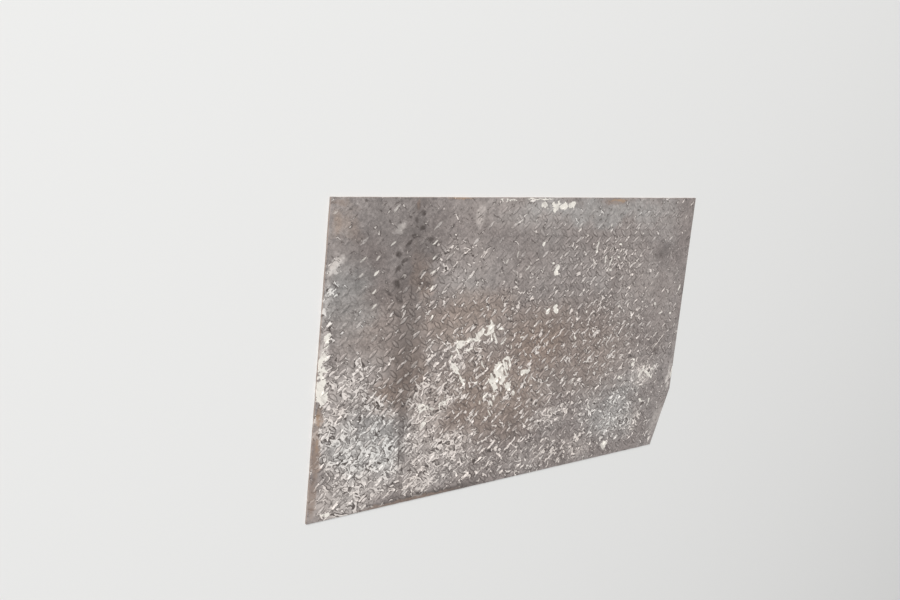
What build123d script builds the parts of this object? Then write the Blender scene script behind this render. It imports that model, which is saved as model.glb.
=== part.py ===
"""Steel tread plate: one rolled sheet with raised lugs, cut by hand to a five-sided piece.

Millimetres. The plate lies flat with its lugs up. X runs along its long edges, +Y points to the
edge that stood uppermost, and the origin is at the middle of the underside.
"""
import os
from math import ceil, cos, radians, sin, sqrt

from build123d import *

os.makedirs("parts", exist_ok=True)

# Overall size of the piece, over its furthest corners
plate_length = 992.0
plate_width = 649.0
plate_thickness = 6.0

# How far each hand-cut edge runs out of square, end to end
left_edge_lean = 21.0
right_edge_lean = 25.0
top_edge_fall = 25.0
bottom_edge_fall = 17.0

# The corner that was cut away, along the right and the bottom edge
clip_rise = 153.0
clip_run = 41.0

# Raised lugs: hipped lozenges on a square lattice, rising and falling by turns
lug_pitch = 30.0
lug_width = 8.5
lug_height = 2.0
lug_turn = 45.0
lug_gap = 4.0
crown_hip = 7.0

# The first rising lug, from the top left corner
first_lug_across = 6.0
first_lug_down = 15.0

# Plain strips: the mill's own at the left and right edges, next to nothing where the plate was cut
left_plain_strip = 4.0
right_plain_strip = 24.0
cut_edge_strip = 1.0

# A lug ends short of the flank of the lug that its tip points to
lug_length = 2 * (lug_pitch / sqrt(2) - lug_width / 2 - lug_gap)
crown_end = lug_length / 2 - crown_hip


def plate_corners():
    """Corners of the piece, anticlockwise from the bottom left."""
    right = plate_length / 2
    top = plate_width / 2
    return [
        (-right, bottom_edge_fall - top),
        (right - clip_run, -top),
        (right, clip_rise - top),
        (right - right_edge_lean, top),
        (left_edge_lean - right, top - top_edge_fall),
    ]


def is_on_tread(x, y):
    """True where a point lies inside every edge of the piece by that edge's plain strip."""
    corners = plate_corners()
    strips = [cut_edge_strip, right_plain_strip, right_plain_strip, cut_edge_strip, left_plain_strip]
    for (x1, y1), (x2, y2), strip in zip(corners, corners[1:] + corners[:1], strips):
        edge = Vector(x2 - x1, y2 - y1)
        inward = (edge.X * (y - y1) - edge.Y * (x - x1)) / edge.length
        if inward < strip:
            return False
    return True


def lug_places(turn, shift):
    """Places of the lugs that are turned one way and lie on the tread from tip to tip."""
    corner_x, corner_y = plate_corners()[-1]
    tip_x = lug_length / 2 * cos(radians(turn))
    tip_y = lug_length / 2 * sin(radians(turn))
    places = []
    for row in range(-1, ceil(plate_width / lug_pitch) + 1):
        for column in range(-2, ceil(plate_length / lug_pitch) + 1):
            x = corner_x + first_lug_across + shift + column * lug_pitch
            y = corner_y - first_lug_down + shift - row * lug_pitch
            if is_on_tread(x - tip_x, y - tip_y) and is_on_tread(x + tip_x, y + tip_y):
                places.append(Location((x, y, plate_thickness), (0, 0, turn)))
    return places


# One lug, lying along X, with its foot and the faces that rise from it
with BuildPart() as lug:
    ConvexPolyhedron(
        [
            (-lug_length / 2, 0, 0),
            (0, -lug_width / 2, 0),
            (lug_length / 2, 0, 0),
            (0, lug_width / 2, 0),
            (-crown_end, 0, lug_height),
            (crown_end, 0, lug_height),
        ]
    )
lug_foot, *lug_skin = lug.faces().sort_by(Axis.Z)

# The piece before its lugs, with its upper face apart from the rest
with BuildPart() as blank:
    with BuildSketch():
        Polygon(*plate_corners(), align=None)
    extrude(amount=plate_thickness)
*plain_faces, upper_face = blank.faces().sort_by(Axis.Z)

# The lugs are rolled from the plate's own face: each foot opens that face and its lug closes it
places = lug_places(lug_turn, 0) + lug_places(-lug_turn, lug_pitch / 2)
feet = [lug_foot.outer_wire().moved(place) for place in places]
rolled_faces = [face.moved(place) for place in places for face in lug_skin]
tread_face = Face(upper_face.outer_wire(), feet)

with BuildPart() as tread_plate:
    add(Solid(Shell([*plain_faces, tread_face, *rolled_faces])), clean=False)

tread_plate.part.label = "tread_plate"
export_step(tread_plate.part, "parts/tread_plate.step")
print(len(places), "lugs")
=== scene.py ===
"""A weathered steel tread plate, lying flat with its lugs up on a pale floor."""
import logging
from dataclasses import dataclass, replace
from enum import Enum
from functools import reduce
from math import ceil, copysign, cos, pi, radians, sin, sqrt

import bmesh
import bpy
from mathutils import Matrix, Vector, noise


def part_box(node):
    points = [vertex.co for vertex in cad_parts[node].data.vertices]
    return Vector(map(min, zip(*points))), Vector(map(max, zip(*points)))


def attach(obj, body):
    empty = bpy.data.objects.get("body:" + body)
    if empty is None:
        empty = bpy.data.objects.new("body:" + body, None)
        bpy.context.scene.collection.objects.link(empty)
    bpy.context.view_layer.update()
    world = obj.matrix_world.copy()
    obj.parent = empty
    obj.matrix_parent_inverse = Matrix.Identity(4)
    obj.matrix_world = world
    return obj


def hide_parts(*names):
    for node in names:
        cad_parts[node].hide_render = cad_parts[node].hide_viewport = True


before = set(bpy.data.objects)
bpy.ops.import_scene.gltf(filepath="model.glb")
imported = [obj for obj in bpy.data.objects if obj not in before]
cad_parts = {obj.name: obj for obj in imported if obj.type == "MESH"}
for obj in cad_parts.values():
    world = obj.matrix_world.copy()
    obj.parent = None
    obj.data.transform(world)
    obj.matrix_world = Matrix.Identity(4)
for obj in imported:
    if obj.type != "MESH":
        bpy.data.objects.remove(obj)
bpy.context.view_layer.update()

LOG = logging.getLogger("tread_plate")
MM = 0.001
Socket = bpy.types.NodeSocket
Feed = Socket | float | str | tuple
Feeds = dict[str | int, Feed]
Point = tuple[float, float, float]
Colour = tuple[float, float, float, float]
Ring = list[bmesh.types.BMVert]


class StainKind(Enum):
    """What lies on the steel, each kind with its own colour and edge."""

    PAINT = "torn splash of cream paint"
    # Its ovals also lay faint painted glints on the crowns of worn lugs.
    FLECK_AND_GLINT = "whole thick fleck of cream paint"
    DUST = "pale scuffed residue"
    FILM = "thin pale skin"
    SHEEN = "cool rubbed sheen"
    UMBER = "brown water stain"
    OIL = "black oil"
    SCORE = "thin dark score"
    RUST = "brown rust"
    OCHRE = "ochre bloom"
    WORN = "lugs worn low and dull"


@dataclass(frozen=True)
class Oval:
    """One oval on the tread face, in millimetres across and down from the top left corner.

    It is turned anticlockwise by degrees, and its fade is how far short it falls of covering.
    """

    across: float
    down: float
    half_length: float
    half_width: float
    turn: float = 0.0
    fade: float = 0.0

    def centre(self, corner: Vector) -> Vector:
        """Its centre in metres, from the corner that it is measured from."""
        return corner + Vector((self.across, -self.down)) * MM

    def reach_of(self, point: Vector, corner: Vector) -> float:
        """How far out a point lies.

        Args:
            point: a place in the plane of the plate, in metres.
            corner: the corner that the oval is measured from.

        Returns:
            0 at the oval's centre, 1 on its rim and more beyond it.
        """
        away = point - self.centre(corner)
        angle = radians(self.turn)
        along = (away.x * cos(angle) + away.y * sin(angle)) / (self.half_length * MM)
        aside = (away.y * cos(angle) - away.x * sin(angle)) / (self.half_width * MM)
        return Vector((along, aside)).length


Marks = dict[StainKind, tuple[Oval, ...]]


@dataclass
class PlateOutline:
    """The five-sided piece, from the frame's own box and the lean of its hand-cut edges."""

    low: Vector
    high: Vector
    thickness: float = 6 * MM
    left_lean: float = 21 * MM
    right_lean: float = 25 * MM
    top_fall: float = 25 * MM
    bottom_fall: float = 17 * MM
    clip_rise: float = 153 * MM
    clip_run: float = 41 * MM
    left_strip: float = 4 * MM
    right_strip: float = 24 * MM
    cut_strip: float = 1 * MM

    def corners(self) -> list[Vector]:
        """Finds the corners of the piece.

        Returns:
            The corners, anticlockwise from the bottom left.
        """
        low, high = self.low, self.high
        return [
            Vector((low.x, low.y + self.bottom_fall)),
            Vector((high.x - self.clip_run, low.y)),
            Vector((high.x, low.y + self.clip_rise)),
            Vector((high.x - self.right_lean, high.y)),
            Vector((low.x + self.left_lean, high.y - self.top_fall)),
        ]

    def top_left(self) -> Vector:
        """The corner that the lugs and the marks are placed from."""
        return self.corners()[-1]

    def inward_edges(self) -> list[tuple[Vector, float]]:
        """Gives each edge as its inward normal and the normal's reach at the edge.

        Returns:
            Pairs (normal, offset), where normal . point - offset is the way in from the edge.
        """
        corners = self.corners()
        edges = []
        for start, end in zip(corners, corners[1:] + corners[:1]):
            along = (end - start).normalized()
            normal = Vector((-along.y, along.x))
            edges.append((normal, normal.dot(start)))
        return edges

    def strips(self) -> list[float]:
        """The plain strip along each edge, in the order of the edges."""
        return [self.cut_strip, self.right_strip, self.right_strip, self.cut_strip, self.left_strip]

    def is_on_tread(self, point: Vector) -> bool:
        """True where a point is further in from every edge than its plain strip."""
        reaches = zip(self.inward_edges(), self.strips())
        return all(normal.dot(point) - offset >= strip for (normal, offset), strip in reaches)


def alike(number: float) -> Point:
    """One number along X, Y and Z alike."""
    return (number, number, number)


def linked(name: str, data: bpy.types.ID) -> bpy.types.Object:
    """Puts a mesh, a lamp or a camera in the scene.

    Args:
        name: the new object's name.
        data: what it shows.

    Returns:
        The object, at the origin.
    """
    made = bpy.data.objects.new(name, data)
    bpy.context.scene.collection.objects.link(made)
    return made


def object_from(mesh: bmesh.types.BMesh, name: str) -> bpy.types.Object:
    """Turns a bmesh into an object and frees the bmesh.

    Args:
        mesh: the finished bmesh.
        name: the name of the object and its mesh.

    Returns:
        The object, at the origin.
    """
    data = bpy.data.meshes.new(name)
    mesh.to_mesh(data)
    mesh.free()
    return linked(name, data)


def close_by_walls(mesh: bmesh.types.BMesh, rings: list[Ring]) -> None:
    """Joins rings by walls and closes the lowest and the highest of them.

    Args:
        mesh: the bmesh of the rings' points.
        rings: rings of as many points each, from the lowest up, anticlockwise from above.
    """
    for lower, upper in zip(rings, rings[1:]):
        for k in range(len(lower)):
            after = (k + 1) % len(lower)
            mesh.faces.new((lower[k], lower[after], upper[after], upper[k]))
    mesh.faces.new(list(reversed(rings[0])))
    mesh.faces.new(rings[-1])


@dataclass
class PlateBody:
    """The plate under its lugs: flat faces, broken arrises and slightly ragged cut edges.

    The cut wanders by a noise whose broadest ripple is that long in metres. Each further layer is
    finer by fining and weaker by roughening. Only faces past wall_corners are cut into triangles.
    """

    outline: PlateOutline
    step: float = 6 * MM
    arris: float = 0.5 * MM
    raggedness: float = 0.7 * MM
    ripple: float = 0.045
    roughening: float = 1.0
    fining: float = 2.0
    layers: int = 3
    seed: int = 3
    wall_corners: int = 4

    def rim_points(self) -> list[tuple[Vector, Vector]]:
        """Walks along the whole rim.

        Returns:
            Pairs (point, inward normal), anticlockwise.
        """
        corners = self.outline.corners()
        edges = self.outline.inward_edges()
        points = []
        for index, (start, end) in enumerate(zip(corners, corners[1:] + corners[:1])):
            before = edges[index - 1][0]
            inward = edges[index][0]
            points.append((start, (before + inward).normalized()))
            count = ceil((end - start).length / self.step)
            for part in range(1, count):
                points.append((start.lerp(end, part / count), inward))
        return points

    def ragged(self, point: Vector, height: float) -> float:
        """Works out how far the cut wandered inwards.

        Args:
            point: a point of the rim.
            height: how far up the wall it is.

        Returns:
            The way in, in metres.
        """
        place = Vector((point.x / self.ripple, point.y / self.ripple, self.seed + height / self.ripple))
        wander = noise.fractal(place, self.roughening, self.fining, self.layers)
        return self.raggedness * min(1.0, abs(wander))

    def section(self) -> list[tuple[float, float]]:
        """Gives the section of the cut wall.

        Returns:
            The height and the inset of each ring, from the underside up.
        """
        top = self.outline.thickness
        return [
            (0.0, self.arris),
            (self.arris, 0.0),
            (top / 2, 0.0),
            (top - self.arris, 0.0),
            (top, self.arris),
        ]

    def build(self) -> bpy.types.Object:
        """Makes the closed body as a ring of walls between two flat faces.

        Returns:
            The body, without its lugs.
        """
        corners = self.outline.corners()
        mesh = bmesh.new()
        rings = []
        for height, inset in self.section():
            ring = []
            for point, inward in self.rim_points():
                wander = 0.0 if point in corners else self.ragged(point, height)
                place = point + inward * (inset + wander)
                ring.append(mesh.verts.new((place.x, place.y, height)))
            rings.append(ring)
        close_by_walls(mesh, rings)
        flats = [face for face in mesh.faces if len(face.verts) > self.wall_corners]
        bmesh.ops.triangulate(mesh, faces=flats)
        return object_from(mesh, "plate_body")


@dataclass
class Lug:
    """One rolled lug: a pointed lens in plan with sloping flanks and a rubbed crown.

    Its foot and shoulder heights are shares of its height, and the insets of its shoulder and
    crown are shares of its width.
    """

    length: float
    width: float
    height: float
    points: int = 12
    tip_sharpness: float = 1.75
    tip_slope: float = 1.4
    sunk: float = 0.3 * MM
    flare: float = 0.35 * MM
    foot_height: float = 0.2
    foot_inset: float = 0.5 * MM
    shoulder_height: float = 0.74
    shoulder_inset: float = 0.22
    crown_inset: float = 0.33

    def rings(self) -> list[tuple[float, float]]:
        """Gives the slope of the flanks.

        Returns:
            The height and the inset of each ring, from the sunk foot to the crown.
        """
        return [
            (-self.sunk, -self.flare),
            (self.foot_height * self.height, self.foot_inset),
            (self.shoulder_height * self.height, self.shoulder_inset * self.width),
            (self.height, self.crown_inset * self.width),
        ]

    def build(self) -> bpy.types.Object:
        """Makes the closed lug.

        Returns:
            The lug, lying along X with its foot at height zero.
        """
        mesh = bmesh.new()
        rings = []
        for height, inset in self.rings():
            half_length = self.length / 2 - inset * self.tip_slope
            half_width = self.width / 2 - inset
            ring = []
            for k in range(self.points):
                angle = 2 * pi * k / self.points
                aside = copysign(abs(sin(angle)) ** self.tip_sharpness, sin(angle))
                ring.append(mesh.verts.new((half_length * cos(angle), half_width * aside, height)))
            rings.append(ring)
        close_by_walls(mesh, rings)
        bmesh.ops.triangulate(mesh, faces=mesh.faces[:])
        return object_from(mesh, "lug_pattern")


class NodeSheet:
    """Adds linked nodes to a tree of nodes."""

    def __init__(self, tree: bpy.types.NodeTree) -> None:
        """Starts with the tree empty."""
        self.tree = tree
        tree.nodes.clear()

    def add(self, kind: str, feeds: Feeds | None = None, **settings: object) -> bpy.types.Node:
        """Adds one node.

        Args:
            kind: the node's type.
            feeds: what goes into each input, by name or index: a link or a constant.
            settings: the node's own options.

        Returns:
            The node.
        """
        made = self.tree.nodes.new(kind)
        for option, chosen in settings.items():
            setattr(made, option, chosen)
        for name, given in (feeds or {}).items():
            if isinstance(given, Socket):
                self.tree.links.new(given, made.inputs[name])
            else:
                made.inputs[name].default_value = given
        return made

    def math(self, operation: str, *feeds: Feed, clamp: bool = False) -> Socket:
        """One operation on numbers."""
        settings = {"operation": operation, "use_clamp": clamp}
        return self.add("ShaderNodeMath", dict(enumerate(feeds)), **settings).outputs[0]


@dataclass
class TreadPattern:
    """Where the lugs stand, and the node tree that raises them from the plate.

    The least and the worn height are shares of a lug's full height, and worn_slope is how soon
    the wear is full, inwards from an oval's rim. Spare rows and columns are looked through past
    the plate's own, far is past every reach of the finish, and float_output is where a random
    value gives a plain number.
    """

    outline: PlateOutline
    pitch: float = 30 * MM
    lug_width: float = 8.5 * MM
    lug_gap: float = 4 * MM
    turn: float = 45.0
    first_across: float = 6 * MM
    first_down: float = 15 * MM
    spare: int = 2
    least_height: float = 0.66
    worn_height: float = 0.28
    worn_slope: float = 2.0
    face_margin: float = 0.02 * MM
    rim_shake: float = 5 * MM
    far: float = 9.0
    seed: int = 11
    float_output: int = 1
    worn: tuple[Oval, ...] = ()

    @property
    def lug_height(self) -> float:
        """What the frame's box leaves above the plate's face."""
        return self.outline.high.z - self.outline.low.z - self.outline.thickness

    @property
    def lug_length(self) -> float:
        """A lug ends short of the flank of the lug that its tip points to."""
        return 2 * (self.pitch / sqrt(2) - self.lug_width / 2 - self.lug_gap)

    def sets(self) -> tuple[tuple[float, float], ...]:
        """The rising and the falling lugs, each set as its turn in degrees and its shift both ways."""
        return (self.turn, 0.0), (-self.turn, self.pitch / 2)

    def first(self, shift: float) -> tuple[float, float]:
        """The centre of a set's first lug."""
        corner = self.outline.top_left()
        return corner.x + self.first_across + shift, corner.y - self.first_down + shift

    def tip(self, turn: float) -> Vector:
        """The way from a lug's centre to its tip."""
        return Vector((cos(radians(turn)), sin(radians(turn)))) * (self.lug_length / 2)

    def places(self, turn: float, shift: float) -> list[Vector]:
        """Finds the lugs of one set that lie whole on the tread.

        Args:
            turn: the angle of the lugs from X, in degrees.
            shift: the step of this set from the first lug, the same both ways.

        Returns:
            Their centres, in the plane of the plate.
        """
        size = self.outline.high - self.outline.low
        tip = self.tip(turn)
        first_x, first_y = self.first(shift)
        found = []
        for row in range(-self.spare, ceil(size.y / self.pitch) + self.spare):
            for column in range(-self.spare, ceil(size.x / self.pitch) + self.spare):
                centre = Vector((first_x + column * self.pitch, first_y - row * self.pitch))
                if self.outline.is_on_tread(centre - tip) and self.outline.is_on_tread(centre + tip):
                    found.append(centre)
        return found

    def kept_at(self, point: Vector) -> float:
        """Works out how much of its height a lug keeps.

        Args:
            point: the lug's centre.

        Returns:
            The share of the height.
        """
        corner = self.outline.top_left()
        lost = 0.0
        for oval in self.worn:
            inside = 1.0 - oval.reach_of(point, corner)
            lost = max(lost, min(1.0, self.worn_slope * inside) * (1.0 - oval.fade))
        return 1.0 - lost * (1.0 - self.worn_height)

    def seeds(self) -> bpy.types.Object:
        """Makes a mesh of loose points, one for each lug, that hold its turn and kept height.

        Returns:
            The object of that mesh.
        """
        spots = [(place, turn) for turn, shift in self.sets() for place in self.places(turn, shift)]
        mesh = bpy.data.meshes.new("lug_places")
        mesh.from_pydata([(*place, self.outline.thickness) for place, _ in spots], [], [])
        held = {
            "turn": [radians(turn) for _, turn in spots],
            "kept": [self.kept_at(place) for place, _ in spots],
        }
        for name, numbers in held.items():
            mesh.attributes.new(name, "FLOAT", "POINT").data.foreach_set("value", numbers)
        return linked("lug_places", mesh)

    def tree(self) -> bpy.types.NodeTree:
        """Builds the tree that sets a lug on each point and unites them with the plate.

        Returns:
            The tree, with a named input for each size.
        """
        tree = bpy.data.node_groups.new("raise_lugs", "GeometryNodeTree")
        inputs = {
            "Places": "Geometry",
            "Plate": "Object",
            "Lug": "Object",
            "Least Height": "Float",
            "Face Height": "Float",
            "Seed": "Int",
            "Steel": "Material",
        }
        for name, kind in inputs.items():
            tree.interface.new_socket(name, in_out="INPUT", socket_type="NodeSocket" + kind)
        tree.interface.new_socket("Geometry", in_out="OUTPUT", socket_type="NodeSocketGeometry")
        sheet = NodeSheet(tree)
        given = sheet.add("NodeGroupInput").outputs
        chance = sheet.add("FunctionNodeRandomValue", {"Seed": given["Seed"]}, data_type="FLOAT")
        wear = chance.outputs[self.float_output]
        spots = sheet.add(
            "GeometryNodeStoreNamedAttribute",
            {"Geometry": given["Places"], "Name": "wear", "Value": wear},
            data_type="FLOAT",
            domain="POINT",
        )
        turn, kept = (
            sheet.add("GeometryNodeInputNamedAttribute", {"Name": name}).outputs["Attribute"]
            for name in ("turn", "kept")
        )
        about_z = sheet.add("ShaderNodeCombineXYZ", {"Z": turn})
        lowered = {"Value": wear, "To Min": 1.0, "To Max": given["Least Height"]}
        rise = sheet.math("MULTIPLY", sheet.add("ShaderNodeMapRange", lowered).outputs["Result"], kept)
        size = sheet.add("ShaderNodeCombineXYZ", {"X": 1.0, "Y": 1.0, "Z": rise})
        lug = sheet.add("GeometryNodeObjectInfo", {"Object": given["Lug"]})
        stand = sheet.add(
            "GeometryNodeInstanceOnPoints",
            {
                "Points": spots.outputs["Geometry"],
                "Instance": lug.outputs["Geometry"],
                "Rotation": about_z.outputs["Vector"],
                "Scale": size.outputs["Vector"],
            },
        )
        real = sheet.add("GeometryNodeRealizeInstances", {"Geometry": stand.outputs["Instances"]})
        plate = sheet.add("GeometryNodeObjectInfo", {"Object": given["Plate"]})
        unite = sheet.add("GeometryNodeMeshBoolean", operation="UNION", solver="MANIFOLD")
        for part in (plate, real):
            tree.links.new(part.outputs["Geometry"], unite.inputs["Mesh 2"])
        place = sheet.add("GeometryNodeInputPosition").outputs["Position"]
        height = sheet.add("ShaderNodeSeparateXYZ", {"Vector": place}).outputs["Z"]
        raised = sheet.add(
            "FunctionNodeCompare",
            {"A": height, "B": given["Face Height"]},
            data_type="FLOAT",
            operation="GREATER_THAN",
        )
        smooth = {"Geometry": unite.outputs["Mesh"], "Selection": raised.outputs["Result"]}
        smoothed = sheet.add("GeometryNodeSetShadeSmooth", smooth).outputs["Geometry"]
        steel = sheet.add("GeometryNodeSetMaterial", {"Geometry": smoothed, "Material": given["Steel"]})
        sheet.add("NodeGroupOutput", {"Geometry": steel.outputs["Geometry"]})
        return tree

    def raise_on(self, body: bpy.types.Object, steel: bpy.types.Material) -> bpy.types.Object:
        """Raises every lug from the body and gives the one closed piece.

        Args:
            body: the plate without its lugs.
            steel: the finish of the whole piece.

        Returns:
            The finished piece, with no modifier left on it.
        """
        lug = Lug(self.lug_length, self.lug_width, self.lug_height).build()
        places = self.seeds()
        LOG.info("%d lugs", len(places.data.vertices))
        modifier = places.modifiers.new("raise_lugs", "NODES")
        modifier.node_group = self.tree()
        inputs = {
            "Plate": body,
            "Lug": lug,
            "Least Height": self.least_height,
            "Face Height": self.outline.thickness + self.face_margin,
            "Seed": self.seed,
            "Steel": steel,
        }
        for socket in modifier.node_group.interface.items_tree:
            if socket.name in inputs:
                modifier[socket.identifier] = inputs[socket.name]
        graph = bpy.context.evaluated_depsgraph_get()
        mesh = bpy.data.meshes.new_from_object(places.evaluated_get(graph), depsgraph=graph)
        mesh.name = "weathered_tread_plate"
        piece = linked("weathered_tread_plate", mesh)
        for spent in (places, lug, body):
            bpy.data.objects.remove(spent)
        return piece


@dataclass(frozen=True)
class Cloud:
    """A noise: its cells to a metre, its finer layers, their weight, and how far it curls."""

    scale: float
    detail: float = 3.0
    roughness: float = 0.55
    curl: float = 0.0


@dataclass(frozen=True)
class Ramp:
    """A soft step, from low at the start to high at the end."""

    start: float
    end: float
    low: float = 0.0
    high: float = 1.0

    def moved(self, way: float) -> "Ramp":
        """The same step, further along by a way."""
        return replace(self, start=self.start + way, end=self.end + way)


@dataclass(frozen=True)
class Dent:
    """How deep a bump is in metres, and how strongly it shows."""

    depth: float
    strength: float


@dataclass(frozen=True)
class Wander:
    """How far a kind of mark strays from its ovals, broadly and finely, and how far it is solid."""

    broad: float
    fine: float
    core: float


class ShaderSheet(NodeSheet):
    """Adds linked shader nodes to one material's tree.

    A noise is AVERAGE in the middle, and MIX_SOCKETS has the lower, upper and result sockets of
    the Mix node, for colours and for numbers.
    """

    AVERAGE = 0.5
    MIX_SOCKETS = {"RGBA": (6, 7, 2), "FLOAT": (2, 3, 0)}

    def __init__(self, name: str) -> None:
        """Starts an empty material.

        Args:
            name: the material's name.
        """
        self.material = bpy.data.materials.new(name)
        self.material.use_nodes = True
        super().__init__(self.material.node_tree)

    def node(self, kind: str, feeds: Feeds | None = None, **settings: object) -> bpy.types.Node:
        """Adds one node, by its type without the prefix."""
        return self.add("ShaderNode" + kind, feeds, **settings)

    def times(self, *factors: Feed) -> Socket:
        """The product of two or more numbers."""
        return reduce(lambda product, factor: self.math("MULTIPLY", product, factor), factors)

    def most(self, *numbers: Feed) -> Socket:
        """The largest of two or more numbers."""
        return reduce(lambda largest, number: self.math("MAXIMUM", largest, number), numbers)

    def least(self, first: Feed, second: Feed) -> Socket:
        """The smaller of two numbers."""
        return self.math("MINIMUM", first, second)

    def plus(self, first: Feed, second: Feed) -> Socket:
        """The sum of two numbers."""
        return self.math("ADD", first, second)

    def minus(self, first: Feed, second: Feed) -> Socket:
        """The difference of two numbers."""
        return self.math("SUBTRACT", first, second)

    def rest(self, share: Feed) -> Socket:
        """What a share leaves of one."""
        return self.math("SUBTRACT", 1.0, share, clamp=True)

    def swing(self, cloud: Socket) -> Socket:
        """How far a noise is over or under its average."""
        return self.minus(cloud, self.AVERAGE)

    def vector(self, operation: str, *feeds: Feed) -> Socket:
        """One operation on vectors, that gives a vector."""
        return self.node("VectorMath", dict(enumerate(feeds)), operation=operation).outputs["Vector"]

    def measure(self, operation: str, *feeds: Feed) -> Socket:
        """One operation on vectors, that gives a number."""
        return self.node("VectorMath", dict(enumerate(feeds)), operation=operation).outputs["Value"]

    def parts(self, place: Socket) -> bpy.types.NodeOutputs:
        """The X, Y and Z of a place."""
        return self.node("SeparateXYZ", {"Vector": place}).outputs

    def framed(self, place: Socket, turn: float, size: Point, centre: Point = (0.0, 0.0, 0.0)) -> Socket:
        """Reads a place from a frame of its own.

        Args:
            place: the place.
            turn: the frame's turn about Z, in degrees.
            size: how long one step of the frame is, along each of its ways.
            centre: where the frame's own origin is.

        Returns:
            The place as the frame gives it.
        """
        feeds = {"Vector": place, "Location": centre, "Rotation": (0.0, 0.0, radians(turn)), "Scale": size}
        return self.node("Mapping", feeds, vector_type="TEXTURE").outputs["Vector"]

    def ramp(self, value: Feed, ramp: Ramp) -> Socket:
        """A soft step over a value."""
        ends = {"From Min": ramp.start, "From Max": ramp.end, "To Min": ramp.low, "To Max": ramp.high}
        return self.node("MapRange", {"Value": value} | ends, interpolation_type="SMOOTHSTEP").outputs[0]

    def cloud(self, place: Socket, cloud: Cloud, output: str = "Fac") -> Socket:
        """A noise at a place, as a number or, by the output Color, as three."""
        feeds = {"Vector": place, "Scale": cloud.scale, "Detail": cloud.detail, "Roughness": cloud.roughness}
        return self.node("TexNoise", feeds | {"Distortion": cloud.curl}).outputs[output]

    def band(self, value: Socket, level: float, ramp: Ramp) -> Socket:
        """A soft band round one level of a value, by how far the value is from it."""
        return self.ramp(self.math("ABSOLUTE", self.minus(value, level)), ramp)

    def grey(self, value: Socket) -> Socket:
        """A number as a colour."""
        return self.node("CombineColor", dict.fromkeys(("Red", "Green", "Blue"), value)).outputs[0]

    def mix(self, share: Feed, under: Feed, over: Feed, way: str = "MIX", kind: str = "RGBA") -> Socket:
        """Lays one colour over another.

        Args:
            share: how much of the upper one shows.
            under: the lower colour.
            over: the upper colour.
            way: how they mix.
            kind: RGBA for colours, or FLOAT for numbers.

        Returns:
            The mixed colour.
        """
        lower, upper, result = self.MIX_SOCKETS[kind]
        feeds = {"Factor": share, lower: under, upper: over}
        return self.node("Mix", feeds, data_type=kind, blend_type=way).outputs[result]

    def blend(self, share: Feed, under: Feed, over: Feed) -> Socket:
        """One number blended into another by a share."""
        return self.mix(share, under, over, kind="FLOAT")

    def bump(self, height: Socket, dent: Dent, below: Socket | None = None) -> Socket:
        """Bends a normal by a height.

        Args:
            height: where the surface rises and falls.
            dent: how deep it goes.
            below: the normal of the coarser relief under it, if there is one.

        Returns:
            The bent normal.
        """
        feeds = {"Height": height, "Distance": dent.depth, "Strength": dent.strength}
        if below is not None:
            feeds["Normal"] = below
        return self.node("Bump", feeds).outputs["Normal"]

    def finish(self, **feeds: Feed) -> bpy.types.Material:
        """Ends the sheet in a surface.

        Args:
            feeds: the shader's inputs, with a low line for each space in their names.

        Returns:
            The finished material.
        """
        named = {name.replace("_", " "): given for name, given in feeds.items()}
        surface = self.node("BsdfPrincipled", named)
        self.node("OutputMaterial", {"Surface": surface.outputs[0]})
        return self.material


@dataclass(frozen=True)
class SteelColours:
    """Colours of the plate and of what lies on it, as linear red, green and blue."""

    warm: Colour = (0.262, 0.226, 0.213, 1.0)
    cool: Colour = (0.330, 0.314, 0.303, 1.0)
    umber: Colour = (0.296, 0.229, 0.192, 1.0)
    # Rubbed steel of the crowns, also the colour of their painted highlight and glints.
    bright: Colour = (0.66, 0.61, 0.575, 1.0)
    # Dark of dirt and oil, also laid as painted shade round the lugs and beside the pale marks.
    dirt_and_painted_shade: Colour = (0.060, 0.047, 0.042, 1.0)
    dust: Colour = (0.79, 0.715, 0.665, 1.0)
    ash: Colour = (0.79, 0.775, 0.745, 1.0)
    paint: Colour = (0.86, 0.82, 0.75, 1.0)
    rust: Colour = (0.285, 0.212, 0.172, 1.0)
    ochre: Colour = (0.42, 0.28, 0.18, 1.0)
    mill_scale: Colour = (0.075, 0.073, 0.078, 1.0)


@dataclass(frozen=True)
class SteelClouds:
    """Noises of the finish, from the broadest to the finest."""

    drift: Cloud = Cloud(6.0, 4.0)
    wave: Cloud = Cloud(9.0, 2.0)
    broad_push: Cloud = Cloud(14.0, 3.0, 0.62)
    fine_push: Cloud = Cloud(80.0, 3.0, 0.62)
    swirl: Cloud = Cloud(50.0, 1.5, 0.5, 0.8)
    stroke: Cloud = Cloud(46.0, 2.0, 0.5)
    chance: Cloud = Cloud(68.0, 1.0)
    mottle: Cloud = Cloud(75.0, 6.0, 0.65)
    tear: Cloud = Cloud(95.0, 4.0, 0.65, 0.8)
    rim: Cloud = Cloud(110.0, 2.0)
    speck: Cloud = Cloud(170.0, 1.0, 0.5)
    fray: Cloud = Cloud(240.0, 4.0, 0.7)
    grain: Cloud = Cloud(700.0, 3.0, 0.6)


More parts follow.
